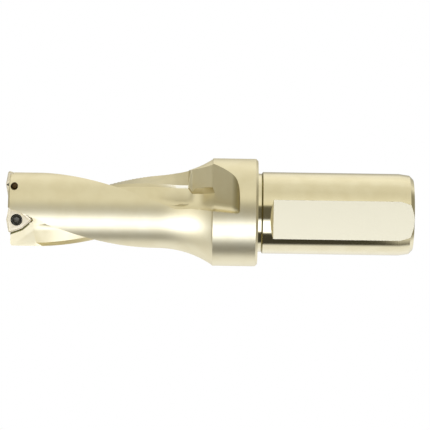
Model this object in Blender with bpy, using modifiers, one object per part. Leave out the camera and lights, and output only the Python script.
"""Indexable drill: a steel body with two helical chip flutes, two trigon carbide inserts and their screws.

The drill stands on the rear face of its shank, tip up. Units are metres, and +Z runs from shank to tip.
The clamping flat faces -Y. Angles are in degrees from +X, anticlockwise as seen from the tip.
A flute has its own frame: u runs out from the axis along its rake side, and v stands square on that
side, into the flute. The drill turns towards +v when it cuts.
"""

import math

import bmesh
import bpy
from mathutils import Matrix, Vector

MM = 0.001

# Gap kept between pieces that touch, and how far cutters reach past what they cut
SEAT_GAP = 0.2 * MM
CUT_PAST = 1.0 * MM
TIP_PAST = 3.0 * MM

# How finely round shapes are cut into facets
BODY_STEPS = 96
SCREW_STEPS = 32
HOLE_STEPS = 24

# Shank, held by a side-lock holder
SHANK_RADIUS = 16.0 * MM
SHANK_LENGTH = 60.8 * MM
LEAD_RADIUS = 15.4 * MM
LEAD_LENGTH = 5.6 * MM
REAR_CHAMFER = 1.5 * MM
FLAT_DISTANCE = 14.0 * MM
FLAT_LENGTH = 54.8 * MM
FLAT_RUNOUT = 1.2 * MM
GROOVE_RADIUS = 15.4 * MM
GROOVE_DRAFT = 0.1 * MM
GROOVE_WIDTH = 1.4 * MM
GROOVE_CHAMFER = 0.5 * MM

# Coolant inlet in the shank, and the two channels that lead on from it
INLET_RADIUS = 6.0 * MM
INLET_DEPTH = 28.0 * MM
INLET_CHAMFER = 0.8 * MM
INLET_POINT_ANGLE = 59.0
CHANNEL_RADIUS = 1.5 * MM
CHANNEL_START_RADIUS = 2.2 * MM
CHANNEL_STEPS = 24

# Flange that stops against the holder
FLANGE_RADIUS = 21.1 * MM
FLANGE_LENGTH = 18.0 * MM
FLANGE_FRONT = SHANK_LENGTH + FLANGE_LENGTH
FLANGE_FRONT_CHAMFER = 0.4 * MM
FLANGE_REAR_CHAMFER = 0.9 * MM

# Head, from the flange to the tip
HEAD_RADIUS = 14.45 * MM
HEAD_LENGTH = 79.1 * MM
HEAD_FRONT = FLANGE_FRONT + HEAD_LENGTH
HEAD_FRONT_CHAMFER = 0.6 * MM
FLARE_RADIUS = 38.5 * MM
FLARE_LENGTH = 20.9 * MM
FLARE_TOP = FLANGE_FRONT + FLARE_LENGTH
FLARE_STEPS = 12

# Helix that the flutes follow: its angle is RAKE_CLOCK a little below the tip, and it ends in the flare
HELIX_LEAD = 230.0 * MM
HELIX_TOP_DEPTH = 12.6 * MM
HELIX_TOP = HEAD_FRONT - HELIX_TOP_DEPTH
HELIX_END_HEIGHT = 14.2 * MM
HELIX_END = FLANGE_FRONT + HELIX_END_HEIGHT
RAKE_CLOCK = 5.5

# Cross-section of a flute
FLUTE_WALL = 3.6 * MM
GULLET_RADIUS = 5.0 * MM
GULLET_DEPTH = 0.9 * MM
RAKE_LIP = 1.3 * MM
RAKE_EDGE_RISE = 1.0 * MM
HEEL_STEP_START = 8.9 * MM
HEEL_STEP_RISE = 0.4 * MM
HEEL_FACET_START = 10.05 * MM
HEEL_FACET_ANGLE = 43.0
FLUTE_REACH = 27.0 * MM
FLUTE_STATION = 1.5 * MM
GULLET_STEPS = 7

# Run-out of a flute through the flare and the flange
EXIT_CLOCK = -3.14
EXIT_RAMP_HEIGHT = 7.86 * MM
EXIT_RAMP_TOP = FLANGE_FRONT + EXIT_RAMP_HEIGHT
EXIT_ARC_RADIUS = 7.6 * MM
EXIT_ARC_STEPS = 7
EXIT_RAMP_ANGLE = 36.0
EXIT_DRAFT = 2.0
EXIT_LEAN = 4.75
EXIT_EDGE_DEPTH = 3.7 * MM
EXIT_FLOOR_FILLET = 3.2 * MM
EXIT_CORNER_RADIUS = 1.3 * MM
EXIT_FILLET_STEPS = 5

# Gullet where it goes on below the ramp of the run-out, and rises to meet it
LOW_GULLET_HEIGHT = 6.75 * MM
LOW_GULLET_BEVEL = 1.3 * MM
LOW_GULLET_ROOF = 9.1 * MM
LOW_GULLET_NARROWING = 1.5 * MM
GULLET_RISE_HEIGHT = 9.2 * MM
GULLET_RISE_RADIUS = 11.3 * MM
GULLET_END_DEPTH = 1.3 * MM
GULLET_RISE_STEPS = 7

# Straight face in front of each insert
POCKET_FACE_LENGTH = 13.7 * MM
CENTRAL_WALL_AT_TOP = -2.9 * MM
CENTRAL_WALL_SLOPE = 0.38

# Trigon insert: three 80 degree corners, and a blunt vertex halfway between each two of them
INSERT_INRADIUS = 3.97 * MM
INSERT_THICKNESS = 3.18 * MM
INSERT_NOSE_RADIUS = 0.8 * MM
LEAST_NOSE_RADIUS = 0.05 * MM
INSERT_CLEARANCE = 7.0
INSERT_HOLE_RADIUS = 1.6 * MM
INSERT_SINK_RADIUS = 2.35 * MM
INSERT_SINK_ANGLE = 30.0
CORNER_ANGLES = (150.0, 270.0, 30.0)
CORNER_TO_BLUNT = 60.0
CORNER_HALF_ANGLE = 40.0
NOSE_STEPS = 5
BREAKER_LAND = 0.22 * MM
BREAKER_SLOPE = 0.36 * MM
BREAKER_WIDTH = 0.9 * MM
BREAKER_DEPTH = 0.16 * MM
BREAKER_FLOOR_DEPTH = 0.05 * MM
CORNER_RELIEF_RADIUS = 1.05 * MM
CORNER_RELIEF_SHIFT = 0.45 * MM

# Insert screw
SCREW_HEAD_DEPTH = 0.3 * MM
SCREW_SHANK_RADIUS = 1.25 * MM
SCREW_LENGTH = 8.4 * MM
SCREW_END_CHAMFER = 0.3 * MM
SCREW_HOLE_RADIUS = 1.45 * MM
STAR_RADIUS = 0.98 * MM
STAR_LOBE = 0.16 * MM
STAR_DEPTH = 1.1 * MM
STAR_STEPS = 36

# Where the inserts sit: out from the axis, and back from the front face
CENTRAL_SEAT_OUT = 4.25 * MM
CENTRAL_SEAT_DEPTH = 2.36 * MM
PERIPHERAL_SEAT_OUT = 9.8 * MM
PERIPHERAL_SEAT_DEPTH = 2.2 * MM

# Where the coolant channels open on the front face: out from the axis, and their angles at the tip
CENTRAL_MOUTH_OUT = 9.2 * MM
CENTRAL_MOUTH_ANGLE = 310.5
PERIPHERAL_MOUTH_OUT = 10.0 * MM
PERIPHERAL_MOUTH_ANGLE = 150.5

STEEL_COLOUR = (0.68, 0.60, 0.39, 1.0)
CARBIDE_COLOUR = (0.86, 0.78, 0.55, 1.0)
SCREW_COLOUR = (0.05, 0.048, 0.042, 1.0)


def clear_scene():
    for obj in list(bpy.data.objects):
        bpy.data.objects.remove(obj, do_unlink=True)


def add_collection(name, for_cutters):
    collection = bpy.data.collections.new(name)
    bpy.context.scene.collection.children.link(collection)
    collection.hide_render = for_cutters
    return collection


def metal(name, colour, roughness):
    material = bpy.data.materials.new(name)
    material.use_nodes = True
    shader = material.node_tree.nodes["Principled BSDF"]
    shader.inputs["Base Color"].default_value = colour
    shader.inputs["Metallic"].default_value = 1.0
    shader.inputs["Roughness"].default_value = roughness
    material.diffuse_color = colour
    return material


def add_object(name, mesh, collection):
    obj = bpy.data.objects.new(name, mesh)
    collection.objects.link(obj)
    if collection.hide_render:
        obj.hide_render = True
        obj.display_type = "WIRE"
    return obj


def mesh_from(name, shape):
    """Turns a bmesh into a mesh, with its faces pointing out."""
    bmesh.ops.recalc_face_normals(shape, faces=shape.faces)
    bmesh.ops.triangulate(shape, faces=shape.faces)
    mesh = bpy.data.meshes.new(name)
    shape.to_mesh(mesh)
    shape.free()
    return mesh


def loft(name, rings, collection):
    """A closed solid through rings of points, each ring with the same number of them."""
    shape = bmesh.new()
    rows = [[shape.verts.new(point) for point in ring] for ring in rings]
    for row, following in zip(rows, rows[1:]):
        for i, vertex in enumerate(row):
            shape.faces.new((row[i - 1], vertex, following[i], following[i - 1]))
    shape.faces.new(rows[0])
    shape.faces.new(rows[-1])
    return add_object(name, mesh_from(name, shape), collection)


def revolve(name, profile, steps, collection):
    """Turns a profile of (radius, height) points about Z with a Screw modifier."""
    mesh = bpy.data.meshes.new(name)
    points = [(radius, 0.0, height) for radius, height in profile]
    edges = [(i, i + 1) for i in range(len(points) - 1)]
    mesh.from_pydata(points, edges, [])
    obj = add_object(name, mesh, collection)
    turn = obj.modifiers.new("turn", "SCREW")
    turn.steps = steps
    turn.render_steps = steps
    turn.use_merge_vertices = True
    turn.merge_threshold = 0.00001
    turn.use_smooth_shade = False
    return obj


def cut(obj, cutter):
    boolean = obj.modifiers.new("cut " + cutter.name, "BOOLEAN")
    boolean.operation = "DIFFERENCE"
    boolean.solver = "EXACT"
    boolean.object = cutter


def arc(centre, radius, start, end, steps):
    """Points of an arc in a plane, with its angles in degrees."""
    points = []
    for i in range(steps + 1):
        angle = math.radians(start + (end - start) * i / steps)
        points.append((centre[0] + radius * math.cos(angle), centre[1] + radius * math.sin(angle)))
    return points


def flute_frame(angle, height):
    """Takes (u, v, w) to the world: u along the angle, v square to it in the plane, and w along Z."""
    return Matrix.Translation((0.0, 0.0, height)) @ Matrix.Rotation(math.radians(angle), 4, "Z")


def helix_turn(height):
    """How far a flute has turned at a height, in degrees, counted from the top of its straight face."""
    return (max(height, HELIX_END) - HELIX_TOP) * 360.0 / HELIX_LEAD


def inlet_profile():
    """The coolant inlet, from its mouth in the rear face to its drill point on the axis."""
    point_height = INLET_RADIUS / math.tan(math.radians(INLET_POINT_ANGLE))
    return [
        (INLET_RADIUS + INLET_CHAMFER, 0.0),
        (INLET_RADIUS, INLET_CHAMFER),
        (INLET_RADIUS, INLET_DEPTH),
        (0.0, INLET_DEPTH + point_height),
    ]


def flare_profile():
    """The hollow curve from the head down to the flange."""
    centre = (HEAD_RADIUS + FLARE_RADIUS, FLARE_TOP)
    drop = FLARE_TOP - FLANGE_FRONT
    sweep = math.degrees(math.asin(drop / FLARE_RADIUS))
    return arc(centre, FLARE_RADIUS, 180.0, 180.0 + sweep, FLARE_STEPS)


def shank_profile():
    """The groove behind the flange, then the shank down to its rear chamfer."""
    groove_end = SHANK_LENGTH - GROOVE_WIDTH
    return [
        (GROOVE_RADIUS, SHANK_LENGTH),
        (GROOVE_RADIUS - GROOVE_DRAFT, groove_end),
        (SHANK_RADIUS, groove_end - GROOVE_CHAMFER),
        (SHANK_RADIUS, LEAD_LENGTH),
        (LEAD_RADIUS, REAR_CHAMFER),
        (LEAD_RADIUS - REAR_CHAMFER, 0.0),
    ]


def body_profile():
    profile = [
        (0.0, HEAD_FRONT),
        (HEAD_RADIUS - HEAD_FRONT_CHAMFER, HEAD_FRONT),
        (HEAD_RADIUS, HEAD_FRONT - HEAD_FRONT_CHAMFER),
    ]
    profile += flare_profile()
    profile += [
        (FLANGE_RADIUS, FLANGE_FRONT - FLANGE_FRONT_CHAMFER),
        (FLANGE_RADIUS, SHANK_LENGTH + FLANGE_REAR_CHAMFER),
        (FLANGE_RADIUS - FLANGE_REAR_CHAMFER, SHANK_LENGTH),
    ]
    return profile + shank_profile() + inlet_profile()


def rake_side():
    """The rake side of a flute: in from outside, over the lip at the edge of the land, to the gullet."""
    outside = (FLUTE_REACH, RAKE_EDGE_RISE)
    lip_end = (HEAD_RADIUS - RAKE_LIP, -GULLET_DEPTH)
    return [outside, (HEAD_RADIUS, 0.0), lip_end]


def gullet():
    centre = (FLUTE_WALL + GULLET_RADIUS, GULLET_RADIUS - GULLET_DEPTH)
    return arc(centre, GULLET_RADIUS, 270.0, 180.0, GULLET_STEPS)


def heel_side(with_facet):
    """The heel side: up the wall, and where the flute has a facet, over a step and out along it."""
    rise = HEEL_STEP_RISE if with_facet else 0.0
    facet_height = FLUTE_REACH - HEEL_FACET_START
    lean = facet_height * math.tan(math.radians(HEEL_FACET_ANGLE)) if with_facet else 0.0
    crease = (FLUTE_WALL + rise, HEEL_FACET_START)
    return [(FLUTE_WALL, HEEL_STEP_START), crease, (FLUTE_WALL + rise - lean, FLUTE_REACH)]


def full_section(with_facet):
    return rake_side() + gullet() + heel_side(with_facet) + [(FLUTE_REACH, FLUTE_REACH)]


def low_section(height):
    """The section below the ramp of the run-out, where only the gullet goes on, and rises to the ramp."""
    roof = [(FLUTE_WALL, LOW_GULLET_HEIGHT), (FLUTE_WALL + LOW_GULLET_BEVEL, LOW_GULLET_ROOF)]
    roof += [(HEAD_RADIUS, LOW_GULLET_ROOF), (FLUTE_REACH, LOW_GULLET_ROOF)]
    drop = max(FLANGE_FRONT + GULLET_RISE_HEIGHT - height, 0.0)
    rise = GULLET_RISE_RADIUS - math.sqrt(GULLET_RISE_RADIUS ** 2 - drop ** 2)
    return [(u + rise, v) for u, v in rake_side() + gullet() + roof]


def flute_stations(with_facet):
    """(height, section) from the end of the gullet up past the tip."""
    end = FLANGE_FRONT - GULLET_END_DEPTH
    stations = []
    for i in range(GULLET_RISE_STEPS + 1):
        height = end + (EXIT_RAMP_TOP - end) * i / GULLET_RISE_STEPS
        stations.append((height, low_section(height)))
    full = full_section(with_facet)
    top = HEAD_FRONT + TIP_PAST
    count = math.ceil((top - HELIX_END) / FLUTE_STATION)
    stations.append((EXIT_RAMP_TOP + LOW_GULLET_NARROWING, full))
    for i in range(count + 1):
        stations.append((HELIX_END + (top - HELIX_END) * i / count, full))
    return stations


def flute_cutter(name, rake_angle, with_facet, collection):
    """A loft that turns with the helix, and runs straight from where the helix ends."""
    rings = []
    for height, section in flute_stations(with_facet):
        frame = flute_frame(rake_angle + helix_turn(height), height)
        rings.append([frame @ Vector((u, v, 0.0)) for u, v in section])
    return loft(name, rings, collection)


def exit_wall():
    """The height of the end wall, where the ramp's arc comes out of the flange."""
    ramp = math.radians(EXIT_RAMP_ANGLE)
    tangent_u = FLANGE_RADIUS - EXIT_ARC_RADIUS * math.cos(ramp)
    tangent_height = EXIT_RAMP_TOP - (tangent_u - FLUTE_WALL) / math.tan(ramp)
    return tangent_height - EXIT_ARC_RADIUS * (1.0 - math.sin(ramp))


def exit_arc_point(inset, angle):
    """A point of the arc between the ramp and the end wall, drawn in by the inset."""
    radius = EXIT_ARC_RADIUS - inset
    turn = math.radians(angle)
    return (FLANGE_RADIUS + radius * math.cos(turn), exit_wall() + EXIT_ARC_RADIUS + radius * math.sin(turn))


def exit_ramp_top(inset):
    """The height at which the ramp, drawn in by the inset, reaches the flute's wall."""
    u, height = exit_arc_point(inset, 180.0 + EXIT_RAMP_ANGLE)
    return height + (u - FLUTE_WALL) / math.tan(math.radians(EXIT_RAMP_ANGLE))


def exit_outline(round_angle):
    """(u, height, lift) points of the run-out: its open outer side, its end arc and its ramp.

    The outline is drawn in and lifted for the rounded edge along the rake side. The rounding is small
    at the end wall and grows along the arc to the fillet beside the ramp.
    """
    inset_share = 1.0 - math.sin(math.radians(round_angle))
    lift_share = 1.0 - math.cos(math.radians(round_angle))
    above = exit_ramp_top(EXIT_FLOOR_FILLET * inset_share) + TIP_PAST
    floor_lift = EXIT_FLOOR_FILLET * lift_share
    wall_lift = EXIT_CORNER_RADIUS * lift_share
    wall_height = exit_wall() + EXIT_CORNER_RADIUS * inset_share
    points = [(FLUTE_WALL, above, floor_lift), (FLUTE_REACH, above, floor_lift)]
    points.append((FLUTE_REACH, wall_height, wall_lift))
    for i in range(EXIT_ARC_STEPS + 1):
        share = i / EXIT_ARC_STEPS
        rounding = EXIT_CORNER_RADIUS + (EXIT_FLOOR_FILLET - EXIT_CORNER_RADIUS) * share
        angle = 270.0 - (90.0 - EXIT_RAMP_ANGLE) * share
        points.append((*exit_arc_point(rounding * inset_share, angle), rounding * lift_share))
    points.append((FLUTE_WALL, exit_ramp_top(EXIT_FLOOR_FILLET * inset_share), floor_lift))
    return points


def exit_cutter(name, rake_angle, collection):
    """The run-out: a ramp and an arc up to its end wall, with a fillet beside the rake side."""
    frame = flute_frame(rake_angle + helix_turn(HELIX_END) + EXIT_CLOCK, 0.0)
    draft = math.tan(math.radians(EXIT_DRAFT))
    lean = math.tan(math.radians(EXIT_LEAN))
    middle = FLANGE_FRONT - EXIT_EDGE_DEPTH
    rings = []
    for i in range(EXIT_FILLET_STEPS + 1):
        ring = []
        for u, height, lift in exit_outline(90.0 * i / EXIT_FILLET_STEPS):
            v = (FLANGE_RADIUS - u) * draft + (height - middle) * lean + lift
            ring.append(frame @ Vector((u, v, height)))
        rings.append(ring)
    rings.append([frame @ Vector((u, FLUTE_REACH, height)) for u, height, lift in exit_outline(90.0)])
    return loft(name, rings, collection)


def face_cutter(name, rake_angle, wall_at_top, wall_slope, collection):
    """Clears the straight face in front of an insert, down to its plane."""
    top = HEAD_FRONT + TIP_PAST
    start = HEAD_FRONT - POCKET_FACE_LENGTH
    wall_at_start = wall_at_top + (top - start) * wall_slope
    outline = [(wall_at_top, top), (FLUTE_REACH, top), (FLUTE_REACH, start), (wall_at_start, start)]
    frame = flute_frame(rake_angle, 0.0)
    rings = [[frame @ Vector((u, v, height)) for u, height in outline] for v in (0.0, FLUTE_REACH)]
    return loft(name, rings, collection)


def trigon(offset):
    """(u, height) points of a trigon about its centre, its front vertex, a blunt one, at +height.

    The offset moves every edge out, and the rounded corners with them.
    """
    inradius = INSERT_INRADIUS + offset
    nose = max(INSERT_NOSE_RADIUS + offset, LEAST_NOSE_RADIUS)
    edge_turn = 90.0 - CORNER_HALF_ANGLE
    nose_distance = (inradius - nose) / math.sin(math.radians(CORNER_HALF_ANGLE))
    blunt_distance = inradius / math.cos(math.radians(CORNER_TO_BLUNT - edge_turn))
    points = []
    for corner in CORNER_ANGLES:
        direction = math.radians(corner)
        centre = (nose_distance * math.cos(direction), nose_distance * math.sin(direction))
        points += arc(centre, nose, corner - edge_turn, corner + edge_turn, NOSE_STEPS)
        blunt = math.radians(corner + CORNER_TO_BLUNT)
        points.append((blunt_distance * math.cos(blunt), blunt_distance * math.sin(blunt)))
    return points


def seat_frame(rake_angle, out, depth):
    """Takes (u, height, depth) about an insert's centre to the world, with depth into the body."""
    turn = flute_frame(rake_angle, HEAD_FRONT - depth) @ Matrix.Translation((out, 0.0, 0.0))
    return turn @ Matrix(((1, 0, 0, 0), (0, 0, -1, 0), (0, 1, 0, 0), (0, 0, 0, 1)))


def trigon_ring(frame, offset, depth):
    return [frame @ Vector((u, height, depth)) for u, height in trigon(offset)]


def insert_blank(name, frame, collection):
    """An insert without its hole, with a narrow land and a chip breaker behind its cutting edges."""
    relief = math.tan(math.radians(INSERT_CLEARANCE))
    rings = [
        trigon_ring(frame, -INSERT_THICKNESS * relief, INSERT_THICKNESS),
        trigon_ring(frame, 0.0, 0.0),
        trigon_ring(frame, -BREAKER_LAND, 0.0),
        trigon_ring(frame, -BREAKER_LAND - BREAKER_SLOPE, BREAKER_DEPTH),
        trigon_ring(frame, -BREAKER_LAND - BREAKER_WIDTH, BREAKER_FLOOR_DEPTH),
    ]
    return loft(name, rings, collection)


def pocket_cutter(name, frame, collection):
    """The insert's seat: its outline grown by the gap, a little deeper, and open above the face."""
    relief = math.tan(math.radians(INSERT_CLEARANCE))
    depths = (INSERT_THICKNESS + SEAT_GAP, -CUT_PAST)
    rings = [trigon_ring(frame, SEAT_GAP - depth * relief, depth) for depth in depths]
    return loft(name, rings, collection)


def turned_on_seat(name, profile, frame, steps, collection):
    """A revolved piece whose axis is the screw's, with its profile's heights as depths."""
    obj = revolve(name, [(radius, -depth) for radius, depth in profile], steps, collection)
    obj.matrix_world = frame @ Matrix.Diagonal((1.0, -1.0, -1.0, 1.0))
    return obj


def sink_radius(depth):
    return INSERT_SINK_RADIUS - depth * math.tan(math.radians(INSERT_SINK_ANGLE))


def insert_hole_cutter(name, frame, collection):
    sink_depth = (INSERT_SINK_RADIUS - INSERT_HOLE_RADIUS) / math.tan(math.radians(INSERT_SINK_ANGLE))
    profile = [
        (0.0, -CUT_PAST),
        (sink_radius(-CUT_PAST), -CUT_PAST),
        (INSERT_HOLE_RADIUS, sink_depth),
        (INSERT_HOLE_RADIUS, INSERT_THICKNESS + CUT_PAST),
        (0.0, INSERT_THICKNESS + CUT_PAST),
    ]
    return turned_on_seat(name, profile, frame, SCREW_STEPS, collection)


def screw_hole_cutter(name, frame, collection):
    """The screw's hole, through the floor of the pocket and out of the land behind it."""
    start = INSERT_THICKNESS - CUT_PAST
    end = HEAD_RADIUS + CUT_PAST
    profile = [(0.0, start), (SCREW_HOLE_RADIUS, start), (SCREW_HOLE_RADIUS, end), (0.0, end)]
    return turned_on_seat(name, profile, frame, HOLE_STEPS, collection)


def corner_relief_cutter(name, frame, collection):
    """A round relief where the pocket takes the insert's rear corner."""
    half = math.radians(CORNER_HALF_ANGLE)
    distance = (INSERT_INRADIUS - INSERT_NOSE_RADIUS) / math.sin(half) + CORNER_RELIEF_SHIFT
    relief_frame = frame @ Matrix.Translation((0.0, -distance, 0.0))
    floor = INSERT_THICKNESS + 2.0 * SEAT_GAP
    radius = CORNER_RELIEF_RADIUS
    profile = [(0.0, -CUT_PAST), (radius, -CUT_PAST), (radius, floor), (0.0, floor)]
    return turned_on_seat(name, profile, relief_frame, HOLE_STEPS, collection)


def star_cutter(name, frame, collection):
    """The six-lobed socket of a screw."""
    outline = []
    for i in range(STAR_STEPS):
        angle = math.tau * i / STAR_STEPS
        radius = STAR_RADIUS + STAR_LOBE * math.cos(6.0 * angle)
        outline.append((radius * math.cos(angle), radius * math.sin(angle)))
    depths = (SCREW_HEAD_DEPTH - CUT_PAST, SCREW_HEAD_DEPTH + STAR_DEPTH)
    rings = [[frame @ Vector((x, y, depth)) for x, y in outline] for depth in depths]
    return loft(name, rings, collection)


def insert_screw(name, frame, parts, cutters):
    gap = SEAT_GAP / math.cos(math.radians(INSERT_SINK_ANGLE))
    head_radius = sink_radius(SCREW_HEAD_DEPTH) - gap
    cone = (head_radius - SCREW_SHANK_RADIUS) / math.tan(math.radians(INSERT_SINK_ANGLE))
    profile = [
        (0.0, SCREW_HEAD_DEPTH),
        (head_radius, SCREW_HEAD_DEPTH),
        (SCREW_SHANK_RADIUS, SCREW_HEAD_DEPTH + cone),
        (SCREW_SHANK_RADIUS, SCREW_LENGTH - SCREW_END_CHAMFER),
        (SCREW_SHANK_RADIUS - SCREW_END_CHAMFER, SCREW_LENGTH),
        (0.0, SCREW_LENGTH),
    ]
    screw = turned_on_seat(name, profile, frame, SCREW_STEPS, parts)
    cut(screw, star_cutter(name + "_star", frame, cutters))
    return screw


def flat_cutter(collection):
    """The clamping flat: open at the rear, with a short run-out at its front end."""
    outside = SHANK_RADIUS + CUT_PAST
    slope = FLAT_RUNOUT / (SHANK_RADIUS - FLAT_DISTANCE)
    outline = [
        (-FLAT_DISTANCE, -CUT_PAST),
        (-FLAT_DISTANCE, FLAT_LENGTH),
        (-outside, FLAT_LENGTH + (outside - FLAT_DISTANCE) * slope),
        (-outside, -CUT_PAST),
    ]
    rings = [[Vector((x, y, height)) for y, height in outline] for x in (-outside, outside)]
    return loft("clamping_flat", rings, collection)


def channel_cutter(name, radius, angle, collection):
    """A coolant channel: it follows its land down the head, then runs in to the inlet."""
    tip_turn = helix_turn(HEAD_FRONT)
    points = []
    top = HEAD_FRONT + TIP_PAST
    for i in range(CHANNEL_STEPS + 1):
        height = top + (HELIX_END - top) * i / CHANNEL_STEPS
        turn = math.radians(angle + helix_turn(height) - tip_turn)
        points.append((radius * math.cos(turn), radius * math.sin(turn), height))
    turn = math.radians(angle + helix_turn(HELIX_END) - tip_turn)
    end = CHANNEL_START_RADIUS
    points.append((end * math.cos(turn), end * math.sin(turn), INLET_DEPTH - CUT_PAST))
    curve = bpy.data.curves.new(name, "CURVE")
    curve.dimensions = "3D"
    curve.bevel_depth = CHANNEL_RADIUS
    curve.bevel_resolution = 2
    curve.use_fill_caps = True
    spline = curve.splines.new("POLY")
    spline.points.add(len(points) - 1)
    for spline_point, point in zip(spline.points, points):
        spline_point.co = (*point, 1.0)
    source = bpy.data.objects.new(name + "_path", curve)
    collection.objects.link(source)
    bpy.context.view_layer.update()
    mesh = bpy.data.meshes.new_from_object(source)
    bpy.data.objects.remove(source)
    shape = bmesh.new()
    shape.from_mesh(mesh)
    bpy.data.meshes.remove(mesh)
    bmesh.ops.remove_doubles(shape, verts=shape.verts, dist=0.001 * MM)
    return add_object(name, mesh_from(name, shape), collection)


def build_insert(name, frame, material, parts, cutters):
    insert = insert_blank(name, frame, parts)
    cut(insert, insert_hole_cutter(name + "_hole", frame, cutters))
    insert.data.materials.append(material)
    return insert


def build_body(frames, material, parts, cutters):
    body = revolve("drill_body", body_profile(), BODY_STEPS, parts)
    body.data.materials.append(material)
    cut(body, flat_cutter(cutters))
    walls = {"central": (CENTRAL_WALL_AT_TOP, CENTRAL_WALL_SLOPE), "peripheral": (FLUTE_WALL, 0.0)}
    rake_angles = {"central": RAKE_CLOCK + 180.0, "peripheral": RAKE_CLOCK}
    for side, rake_angle in rake_angles.items():
        cut(body, flute_cutter(side + "_flute", rake_angle, side == "peripheral", cutters))
    for side, rake_angle in rake_angles.items():
        cut(body, exit_cutter(side + "_flute_exit", rake_angle, cutters))
        cut(body, face_cutter(side + "_face", rake_angle, *walls[side], cutters))
    for side, frame in frames.items():
        cut(body, screw_hole_cutter(side + "_screw_hole", frame, cutters))
        cut(body, pocket_cutter(side + "_pocket", frame, cutters))
        cut(body, corner_relief_cutter(side + "_corner_relief", frame, cutters))
    mouths = {
        "central": (CENTRAL_MOUTH_OUT, CENTRAL_MOUTH_ANGLE),
        "peripheral": (PERIPHERAL_MOUTH_OUT, PERIPHERAL_MOUTH_ANGLE),
    }
    for side, (out, angle) in mouths.items():
        cut(body, channel_cutter(side + "_coolant_channel", out, angle, cutters))
    return body


def main():
    clear_scene()
    parts = add_collection("indexable_drill", False)
    cutters = add_collection("cutters", True)
    frames = {
        "central": seat_frame(RAKE_CLOCK + 180.0, CENTRAL_SEAT_OUT, CENTRAL_SEAT_DEPTH),
        "peripheral": seat_frame(RAKE_CLOCK, PERIPHERAL_SEAT_OUT, PERIPHERAL_SEAT_DEPTH),
    }
    build_body(frames, metal("plated_steel", STEEL_COLOUR, 0.3), parts, cutters)
    for side, frame in frames.items():
        carbide = metal(side + "_coated_carbide", CARBIDE_COLOUR, 0.25)
        build_insert(side + "_insert", frame, carbide, parts, cutters)
        screw = insert_screw(side + "_insert_screw", frame, parts, cutters)
        screw.data.materials.append(metal(side + "_blackened_steel", SCREW_COLOUR, 0.35))


main()
